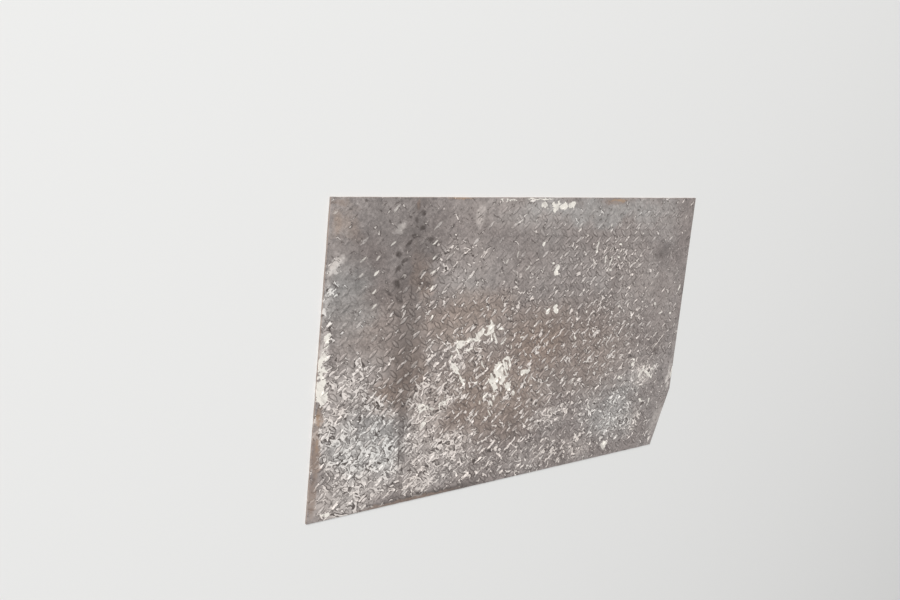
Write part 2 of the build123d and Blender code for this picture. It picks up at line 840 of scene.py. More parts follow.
@dataclass(frozen=True)
class SteelSteps:
    """Soft steps of the finish: over noises, shares and lugs, and over ways in metres."""

    cool_drift: Ramp = Ramp(0.40, 0.64, 0.0, 0.30)
    drift_shade: Ramp = Ramp(0.30, 0.70, 0.92, 1.08)
    mottle_shade: Ramp = Ramp(0.32, 0.68, 0.80, 1.20)
    fray_shade: Ramp = Ramp(0.32, 0.68, 0.78, 1.24)
    grain_shade: Ramp = Ramp(0.25, 0.75, 0.84, 1.16)
    above_face: Ramp = Ramp(0.1 * MM, 0.3 * MM)
    crown: Ramp = Ramp(0.80, 0.50)
    foot: Ramp = Ramp(1.45, 1.00)
    foot_mottle: Ramp = Ramp(0.36, 0.58, 0.1, 0.65)
    rubbed: Ramp = Ramp(0.20, 0.90, 0.04, 0.85)
    # Painted glints on a few crowns, and the painted highlight that is stronger on the rising lugs' crowns.
    glint: Ramp = Ramp(0.80, 0.90)
    rising_highlight: Ramp = Ramp(-0.1, 0.1, 0.25, 1.0)
    polish_mottle: Ramp = Ramp(0.40, 0.56, 0.20, 1.0)
    polish_fray: Ramp = Ramp(0.36, 0.54, 0.30, 1.0)
    swirl_share: Ramp = Ramp(0.62, 0.80)
    swirl: Ramp = Ramp(0.062, 0.038)
    # Painted shade beside the pale curls.
    swirl_painted_shade: Ramp = Ramp(0.048, 0.028)
    stroke: Ramp = Ramp(0.655, 0.680)
    # Painted shade round the pale strokes.
    stroke_painted_shade: Ramp = Ramp(0.580, 0.645)
    rim: Ramp = Ramp(0.40, 0.18)
    rim_share: Ramp = Ramp(0.40, 0.90, 0.0, 0.85)
    rim_mottle: Ramp = Ramp(0.50, 0.57)
    speck: Ramp = Ramp(0.72, 0.76)
    pale_fray: Ramp = Ramp(0.37, 0.50, 0.46, 1.0)
    haze: Ramp = Ramp(0.30, 1.00, 0.0, 0.52)
    haze_mottle: Ramp = Ramp(0.30, 0.70, 0.35, 1.0)
    skin_mottle: Ramp = Ramp(0.30, 0.60, 0.55, 0.95)
    oil_fray: Ramp = Ramp(0.30, 0.60, 0.60, 0.96)
    rust_way_in: Ramp = Ramp(1.4 * MM, 0.4 * MM, 0.0, 0.8)
    rust_below_face: Ramp = Ramp(0.0, -0.8 * MM, 0.25, 1.0)
    rust_fray: Ramp = Ramp(0.32, 0.55, 0.40, 0.9)
    ochre_fray: Ramp = Ramp(0.30, 0.60, 0.40, 0.9)
    paint_over_lug: Ramp = Ramp(1.1, 0.7, 0.0, -0.28)
    paint_kept: Ramp = Ramp(0.46, 0.56)
    paint_reach: Ramp = Ramp(0.0, 0.10)
    paint_below_face: Ramp = Ramp(-0.6 * MM, -0.1 * MM, 0.2, 1.0)
    paint_stroke: Ramp = Ramp(0.36, 0.50, 0.66, 1.0)
    paint_fray: Ramp = Ramp(0.34, 0.48, 0.80, 1.0)
    fleck: Ramp = Ramp(0.25, 0.55)
    underside: Ramp = Ramp(0.3 * MM, 0.1 * MM)
    underside_rust: Ramp = Ramp(0.48, 0.62)
    grain_rough: Ramp = Ramp(0.2, 0.8, 0.44, 0.64)


@dataclass(frozen=True)
class SteelShares:
    """Shares and levels of the finish's layers, and the dents of its relief."""

    umber: float = 0.95
    swirl_chance: float = 2.4
    swirl_level: float = 0.560
    # Level and strength of the painted shade beside the pale curls.
    swirl_painted_shade_level: float = 0.470
    swirl_painted_shade: float = 0.90
    bend_reach: float = 2.4
    bend: float = 0.07
    bend_back: float = 0.12
    dusty_rising: float = 0.07
    dusty_falling: float = 0.10
    fewer_falling: float = 0.05
    fewer_worn: float = 0.05
    # Strength of the painted shade round the pale strokes.
    stroke_painted_shade: float = 0.70
    rim_level: float = 1.45
    speck: float = 0.6
    worn_dull: float = 0.60
    worn_clean: float = 0.9
    paint_cover: float = 1.05
    paint_tear: float = 1.7
    paint_drawn: float = 2.0
    paint_fray: float = 0.7
    metal: float = 0.25
    metal_polished: float = 0.55
    rough_polished: float = 0.33
    rough_oily: float = 0.32
    rough_covered: float = 0.75
    wave: Dent = Dent(4 * MM, 0.35)
    pits: Dent = Dent(0.6 * MM, 0.6)
    grain: Dent = Dent(0.12 * MM, 0.6)


class WeatheredSteel:
    """Rolled steel that was walked on, splashed with paint and left to stand on an edge.

    PUSH_SPREAD and PUSH_SHIFT turn a noise's colour into a way of -1 to 1 in the plane of the
    plate, and FLATTENED is how far an oval's frame is drawn out of that plane.
    """

    COLOURS = SteelColours()
    CLOUDS = SteelClouds()
    STEPS = SteelSteps()
    SHARES = SteelShares()
    FLATTENED = 1e6
    STROKE_BEND = 5 * MM
    STROKE_WIDTH = 0.34
    PUSH_SPREAD = (2.0, 2.0, 0.0)
    PUSH_SHIFT = (-1.0, -1.0, 0.0)
    HALF_CELL = (0.5, 0.5, 0.0)
    WANDERS = {
        StainKind.PAINT: Wander(0.0, 0.010, 0.40),
        StainKind.FLECK_AND_GLINT: Wander(0.0, 0.004, 0.65),
        StainKind.DUST: Wander(0.050, 0.016, 0.10),
        StainKind.FILM: Wander(0.0, 0.014, 0.30),
        StainKind.SHEEN: Wander(0.060, 0.010, 0.20),
        StainKind.UMBER: Wander(0.050, 0.010, 0.20),
        StainKind.OIL: Wander(0.0, 0.006, 0.25),
        StainKind.SCORE: Wander(0.0, 0.0015, 0.30),
        StainKind.RUST: Wander(0.0, 0.010, 0.40),
        StainKind.OCHRE: Wander(0.0, 0.010, 0.25),
        StainKind.WORN: Wander(0.040, 0.0, 0.40),
    }

    def __init__(self, outline: PlateOutline, pattern: TreadPattern, marks: Marks) -> None:
        """Starts the finish's sheet with the fields that its layers share.

        Args:
            outline: the plate's edges.
            pattern: the lattice of the lugs.
            marks: the ovals of each kind of mark.
        """
        self.outline = outline
        self.pattern = pattern
        self.marks = marks
        self.sheet = ShaderSheet("weathered_steel")
        sheet, clouds, steps = self.sheet, self.CLOUDS, self.STEPS
        self.here = sheet.node("TexCoord").outputs["Object"]
        self.height = sheet.parts(self.here)["Z"]
        self.wear = sheet.node("Attribute", attribute_name="wear").outputs["Fac"]
        self.turn = sheet.node("Attribute", attribute_name="turn").outputs["Fac"]
        self.drift = sheet.cloud(self.here, clouds.drift)
        self.mottle = sheet.cloud(self.here, clouds.mottle)
        self.fray = sheet.cloud(self.here, clouds.fray)
        self.grain = sheet.cloud(self.here, clouds.grain)
        self.chance = sheet.cloud(self.here, clouds.chance)
        self.broad_push = self.push(clouds.broad_push)
        self.fine_push = self.push(clouds.fine_push)
        self.rising = self.slanted_stroke(pattern.turn)
        self.falling = self.slanted_stroke(-pattern.turn)
        self.cover = {kind: self.cover_of(kind) for kind in StainKind}
        drifted = sheet.ramp(self.drift, steps.cool_drift)
        self.coolness = sheet.least(sheet.plus(drifted, self.cover[StainKind.SHEEN]), 1.0)
        self.way_in = self.way_in_from_edges()
        self.lens = self.way_from_lugs()
        raised = sheet.ramp(self.height, steps.above_face.moved(outline.thickness))
        self.crown = sheet.times(raised, sheet.ramp(self.lens, steps.crown))

    def push(self, cloud: Cloud) -> Socket:
        """A way to stray in the plane of the plate, from -1 to 1 each way."""
        pushed = self.sheet.cloud(self.here, cloud, "Color")
        return self.sheet.vector("MULTIPLY_ADD", pushed, self.PUSH_SPREAD, self.PUSH_SHIFT)

    def slanted_stroke(self, turn: float) -> Socket:
        """Draws a noise out along one set of lugs, for the strokes that feet and loads left.

        Args:
            turn: the angle of the lugs from X, in degrees.

        Returns:
            The noise.
        """
        sheet = self.sheet
        place = sheet.vector("MULTIPLY_ADD", self.fine_push, alike(self.STROKE_BEND), self.here)
        slanted = sheet.framed(place, turn, (1.0, self.STROKE_WIDTH, 1.0))
        return sheet.cloud(slanted, self.CLOUDS.stroke)

    def strayed(self, wander: Wander) -> Socket:
        """Pushes the place about, so that an oval read there has a torn rim.

        Args:
            wander: how far a kind of mark strays.

        Returns:
            The pushed place.
        """
        place = self.here
        for push, reach in ((self.broad_push, wander.broad), (self.fine_push, wander.fine)):
            if reach:
                place = self.sheet.vector("MULTIPLY_ADD", push, alike(reach), place)
        return place

    def cover_of(self, kind: StainKind) -> Socket:
        """Works out how thickly one kind of mark covers each place.

        Each oval takes the total before it as its third coordinate, scaled to nothing, so that the
        ovals are worked out one after another and the renderer holds few numbers at a time.

        Args:
            kind: the kind of mark.

        Returns:
            The cover, from 0 to 1.
        """
        sheet = self.sheet
        wander = self.WANDERS[kind]
        parts = sheet.parts(self.strayed(wander))
        corner = self.outline.top_left()
        total: Feed = 0.0
        for oval in self.marks[kind]:
            place = sheet.node("CombineXYZ", {"X": parts["X"], "Y": parts["Y"], "Z": total}).outputs[0]
            size = (oval.half_length * MM, oval.half_width * MM, self.FLATTENED)
            inside = sheet.framed(place, oval.turn, size, (*oval.centre(corner), 0.0))
            reach = sheet.measure("LENGTH", inside)
            lies = sheet.ramp(reach, Ramp(1.0, wander.core, 0.0, 1.0 - oval.fade))
            total = sheet.most(total, lies)
        return total

    def way_in_from_edges(self) -> Socket:
        """Measures how far in from the nearest cut edge each place is.

        Returns:
            The way in, in metres.
        """
        sheet = self.sheet
        nearest: Feed = 1.0
        for normal, offset in self.outline.inward_edges():
            along = sheet.measure("DOT_PRODUCT", self.here, (*normal, 0.0))
            nearest = sheet.least(nearest, sheet.minus(along, offset))
        return nearest

    def way_from_lugs(self) -> Socket:
        """Measures how far out from the nearest lug each place is, from the pattern's lattice.

        Returns:
            1 at the foot of the lug, less on it and more beyond it.
        """
        sheet, pattern = self.sheet, self.pattern
        shaken = sheet.cloud(self.here, self.CLOUDS.rim, "Color")
        shaken = sheet.vector("SUBTRACT", shaken, alike(sheet.AVERAGE))
        shaken = sheet.vector("MULTIPLY", shaken, (pattern.rim_shake, pattern.rim_shake, 0.0))
        near = sheet.vector("ADD", self.here, shaken)
        nearest: Feed = pattern.far
        for turn, shift in pattern.sets():
            nearest = sheet.least(nearest, self.way_from_set(near, turn, shift))
        return nearest

    def way_from_set(self, near: Socket, turn: float, shift: float) -> Socket:
        """Measures how far out from the nearest lug of one set a place is.

        Args:
            near: the place.
            turn: the angle of the set's lugs from X, in degrees.
            shift: the step of the set from the first lug, the same both ways.

        Returns:
            1 at the foot of the lug, less on it and more beyond it.
        """
        sheet, pattern = self.sheet, self.pattern
        cell = sheet.vector("SUBTRACT", near, (*pattern.first(shift), 0.0))
        cell = sheet.vector("DIVIDE", cell, alike(pattern.pitch))
        cell = sheet.vector("ADD", cell, self.HALF_CELL)
        cell = sheet.vector("SUBTRACT", sheet.vector("FRACTION", cell), self.HALF_CELL)
        half_length = pattern.lug_length / pattern.pitch / 2
        half_width = pattern.lug_width / pattern.pitch / 2
        parts = sheet.parts(sheet.framed(cell, turn, (half_length, half_width, 1.0)))
        squared = sheet.times(parts["X"], parts["X"])
        lens = sheet.plus(squared, sheet.math("ABSOLUTE", parts["Y"]))
        centre = sheet.vector("SUBTRACT", near, sheet.vector("MULTIPLY", cell, alike(pattern.pitch)))
        missing = sheet.math("LESS_THAN", self.room_at(centre, turn), 0.0)
        return sheet.plus(lens, sheet.times(missing, pattern.far))

    def room_at(self, centre: Socket, turn: float) -> Socket:
        """Measures how far inside the tread a lug's tips are.

        Args:
            centre: the lug's centre.
            turn: its angle from X, in degrees.

        Returns:
            The room in metres, which is under nothing where no lug stands.
        """
        sheet = self.sheet
        tip = self.pattern.tip(turn)
        room: Feed = 1.0
        for (normal, offset), strip in zip(self.outline.inward_edges(), self.outline.strips()):
            needed = offset + strip + abs(normal.dot(tip))
            along = sheet.measure("DOT_PRODUCT", centre, (*normal, 0.0))
            room = sheet.least(room, sheet.minus(along, needed))
        return room

    def steel(self) -> Socket:
        """Makes the dull rolled skin: warm, cool and brown by drifts, and mottled at four scales.

        Returns:
            Its colour.
        """
        sheet, colours, steps = self.sheet, self.COLOURS, self.STEPS
        colour = sheet.mix(self.coolness, colours.warm, colours.cool)
        brown = sheet.times(self.cover[StainKind.UMBER], self.SHARES.umber)
        colour = sheet.mix(brown, colour, colours.umber)
        shade = sheet.times(
            sheet.ramp(self.drift, steps.drift_shade),
            sheet.ramp(self.mottle, steps.mottle_shade),
            sheet.ramp(self.fray, steps.fray_shade),
            sheet.ramp(self.grain, steps.grain_shade),
        )
        return sheet.mix(1.0, colour, sheet.grey(shade), "MULTIPLY")

    def swirls(self) -> tuple[Socket, Socket]:
        """Makes short curls of pale residue that bend round the lugs.

        Returns:
            The shares of the curls and of the painted shade along one side of them.
        """
        sheet, steps, shares = self.sheet, self.STEPS, self.SHARES
        by_chance = sheet.times(sheet.swing(self.chance), shares.swirl_chance)
        share = sheet.ramp(sheet.plus(self.cover[StainKind.DUST], by_chance), steps.swirl_share)
        bend = sheet.times(sheet.least(self.lens, shares.bend_reach), shares.bend)
        curl = sheet.cloud(self.here, self.CLOUDS.swirl)
        curl = sheet.plus(curl, sheet.minus(bend, shares.bend_back))
        pale = sheet.band(curl, shares.swirl_level, steps.swirl)
        # Painted shade: a dark band along one side of each pale curl, as of a shadow beside its ridge.
        dark = sheet.band(curl, shares.swirl_painted_shade_level, steps.swirl_painted_shade)
        return sheet.times(share, pale), sheet.times(share, dark)

    def strokes(self) -> tuple[Socket, Socket]:
        """Makes short slanted strokes of pale residue.

        Returns:
            The shares of the strokes and of the painted shade round them.
        """
        sheet, steps, shares = self.sheet, self.STEPS, self.SHARES
        dust = self.cover[StainKind.DUST]
        fewer = sheet.times(self.cover[StainKind.WORN], shares.fewer_worn)
        rising = sheet.plus(self.rising, sheet.times(dust, shares.dusty_rising))
        rising = sheet.minus(rising, fewer)
        more = sheet.minus(sheet.times(dust, shares.dusty_falling), shares.fewer_falling)
        stroke = sheet.most(rising, sheet.plus(self.falling, more))
        # The second share is painted shade, a dark rim round each pale stroke.
        return sheet.ramp(stroke, steps.stroke), sheet.ramp(stroke, steps.stroke_painted_shade)

    def rims(self) -> Socket:
        """Makes arcs of residue round the feet of the lugs.

        Returns:
            Their share.
        """
        sheet, steps = self.sheet, self.STEPS
        broken = sheet.ramp(self.mottle, steps.rim_mottle)
        share = sheet.ramp(self.cover[StainKind.DUST], steps.rim_share)
        return sheet.times(sheet.band(self.lens, self.SHARES.rim_level, steps.rim), broken, share)

    def residue(self, swirls: Socket, strokes: Socket) -> Socket:
        """Gathers all the pale residue, with fine specks, and thins it unevenly.

        Args:
            swirls: the share of the curls.
            strokes: the share of the slanted strokes.

        Returns:
            Its share.
        """
        sheet, steps = self.sheet, self.STEPS
        specks = sheet.ramp(sheet.cloud(self.here, self.CLOUDS.speck), steps.speck)
        specks = sheet.times(specks, self.SHARES.speck)
        thin = sheet.ramp(self.fray, steps.pale_fray)
        return sheet.times(sheet.most(swirls, strokes, self.rims(), specks), thin)

    def film(self) -> Socket:
        """Makes thin pale skins: a haze where dust lies thick, denser where a skin was marked.

        Returns:
            Their share.
        """
        sheet, steps = self.sheet, self.STEPS
        haze = sheet.ramp(self.cover[StainKind.DUST], steps.haze)
        haze = sheet.times(haze, sheet.ramp(self.mottle, steps.haze_mottle))
        skin = sheet.times(self.cover[StainKind.FILM], sheet.ramp(self.mottle, steps.skin_mottle))
        return sheet.most(haze, skin)

    def polish_and_highlight(self) -> Socket:
        """Rubs the lugs' crowns lighter, some hardly, and paints a highlight on them, strongest on the
        rising lugs where the light falls, with painted glints on a few.

        Returns:
            How light they are rubbed, with the painted highlight and glints.
        """
        sheet, steps = self.sheet, self.STEPS
        spared = sheet.times(self.cover[StainKind.WORN], self.SHARES.worn_dull)
        rubbed = sheet.ramp(sheet.minus(self.wear, spared), steps.rubbed)
        # Painted glints: the lugs of highest wear are lit up even where worn dull.
        glint = sheet.ramp(self.wear, steps.glint)
        # Painted highlight: the falling lugs' crowns get a quarter of the rising ones' share, as the light
        # falls on the rising lugs.
        side = sheet.ramp(self.turn, steps.rising_highlight)
        uneven = sheet.ramp(self.mottle, steps.polish_mottle)
        uneven = sheet.times(uneven, sheet.ramp(self.fray, steps.polish_fray))
        return sheet.times(self.crown, sheet.most(rubbed, glint), side, uneven)

    def dirt_and_painted_shade(self) -> Socket:
        """Lays dirt, and painted shade, on the flanks of the lugs and close round their feet.

        Returns:
            Its share.
        """
        sheet, steps = self.sheet, self.STEPS
        # Darker towards each foot and over the flanks: dirt, and painted shade of the flanks.
        near = sheet.ramp(self.lens, steps.foot)
        broken = sheet.ramp(self.mottle, steps.foot_mottle)
        clean = sheet.times(self.cover[StainKind.WORN], self.SHARES.worn_clean)
        return sheet.times(near, broken, sheet.rest(sheet.most(self.crown, clean)))

    def oil(self) -> Socket:
        """Black oil and dark scores, thinner where the face is rubbed."""
        black = self.sheet.most(self.cover[StainKind.OIL], self.cover[StainKind.SCORE])
        return self.sheet.times(black, self.sheet.ramp(self.fray, self.STEPS.oil_fray))

    def rust(self) -> Socket:
        """Lays rust in its own places and on the cut walls.

        Returns:
            Its share.
        """
        sheet, steps = self.sheet, self.STEPS
        wall = sheet.ramp(self.way_in, steps.rust_way_in)
        below = sheet.ramp(self.height, steps.rust_below_face.moved(self.outline.thickness))
        marked = sheet.most(self.cover[StainKind.RUST], sheet.times(wall, below))
        return sheet.times(marked, sheet.ramp(self.fray, steps.rust_fray))

    def ochre(self) -> Socket:
        """Ochre blooms, broken by the fray."""
        broken = self.sheet.ramp(self.fray, self.STEPS.ochre_fray)
        return self.sheet.times(self.cover[StainKind.OCHRE], broken)

    def paint(self) -> Socket:
        """Throws splashes of paint, torn to pieces over the lugs, and thick whole flecks, some of them faint
        painted glints on worn lugs' crowns.

        Returns:
            Their share.
        """
        sheet, steps, shares = self.sheet, self.STEPS, self.SHARES
        cover = self.cover[StainKind.PAINT]
        tear = sheet.swing(sheet.cloud(self.here, self.CLOUDS.tear))
        drawn = sheet.times(sheet.swing(self.rising), shares.paint_drawn)
        ragged = sheet.plus(sheet.times(tear, shares.paint_tear), drawn)
        ragged = sheet.plus(ragged, sheet.times(sheet.swing(self.fray), shares.paint_fray))
        over_lug = sheet.ramp(self.lens, steps.paint_over_lug)
        kept = sheet.plus(sheet.times(cover, shares.paint_cover), sheet.plus(ragged, over_lug))
        splash = sheet.times(sheet.ramp(kept, steps.paint_kept), sheet.ramp(cover, steps.paint_reach))
        # Whole flecks, among them the painted glints on worn crowns.
        whole = sheet.most(splash, sheet.ramp(self.cover[StainKind.FLECK_AND_GLINT], steps.fleck))
        down_wall = sheet.ramp(self.height, steps.paint_below_face.moved(self.outline.thickness))
        thick = sheet.ramp(self.falling, steps.paint_stroke)
        thick = sheet.times(thick, sheet.ramp(self.fray, steps.paint_fray))
        return sheet.times(whole, down_wall, thick)

    def material(self) -> bpy.types.Material:
        """Lays every layer over the steel, from the oldest to the newest, with painted shade round the lugs
        and beside the pale marks and a painted highlight on the crowns.

        Returns:
            The finished material.
        """
        sheet, colours, steps, shares = self.sheet, self.COLOURS, self.STEPS, self.SHARES
        swirls, painted_shade_beside_swirls = self.swirls()
        strokes, painted_shade_beside_strokes = self.strokes()
        pale = self.residue(swirls, strokes)
        film = self.film()
        # Dirt and painted shade round the lugs, and painted shade beside the pale curls and strokes.
        dark = sheet.most(
            self.dirt_and_painted_shade(),
            sheet.times(painted_shade_beside_swirls, shares.swirl_painted_shade),
            sheet.times(painted_shade_beside_strokes, shares.stroke_painted_shade),
        )
        polish_and_highlight, oil, rust, paint, ochre = self.polish_and_highlight(), self.oil(), self.rust(), self.paint(), self.ochre()

        dust = sheet.mix(self.coolness, colours.dust, colours.ash)
        colour = sheet.mix(film, self.steel(), dust)
        colour = sheet.mix(dark, colour, colours.dirt_and_painted_shade)
        colour = sheet.mix(pale, colour, dust)
        # Rubbed crowns, with the painted highlight of the rising lugs and painted glints.
        colour = sheet.mix(polish_and_highlight, colour, colours.bright)
        colour = sheet.mix(oil, colour, colours.dirt_and_painted_shade)
        colour = sheet.mix(rust, colour, colours.rust)
        colour = sheet.mix(ochre, colour, colours.ochre)
        colour = sheet.mix(paint, colour, colours.paint)
        under = sheet.ramp(self.height, steps.underside)
        rusty = sheet.ramp(self.mottle, steps.underside_rust)
        colour = sheet.mix(under, colour, sheet.mix(rusty, colours.mill_scale, colours.rust))

        covered = sheet.most(paint, rust, pale, film)
        metal = sheet.blend(polish_and_highlight, shares.metal, shares.metal_polished)
        metallic = sheet.times(metal, sheet.rest(covered))
        rough = sheet.blend(polish_and_highlight, sheet.ramp(self.grain, steps.grain_rough), shares.rough_polished)
        rough = sheet.blend(oil, rough, shares.rough_oily)
        rough = sheet.blend(covered, rough, shares.rough_covered)
        return sheet.finish(Base_Color=colour, Metallic=metallic, Roughness=rough, Normal=self.relief())

    def relief(self) -> Socket:
        """Bends the normal by the face's waves, pits and grain.

        Returns:
            The bent normal.
        """
        sheet, shares = self.sheet, self.SHARES
        normal = sheet.bump(sheet.cloud(self.here, self.CLOUDS.wave), shares.wave)
        normal = sheet.bump(self.mottle, shares.pits, normal)
        return sheet.bump(self.grain, shares.grain, normal)


def ovals(*rows: tuple[float, ...]) -> tuple[Oval, ...]:
    """Ovals from rows of their numbers, in the order of an oval's fields."""
    return tuple(Oval(*row) for row in rows)


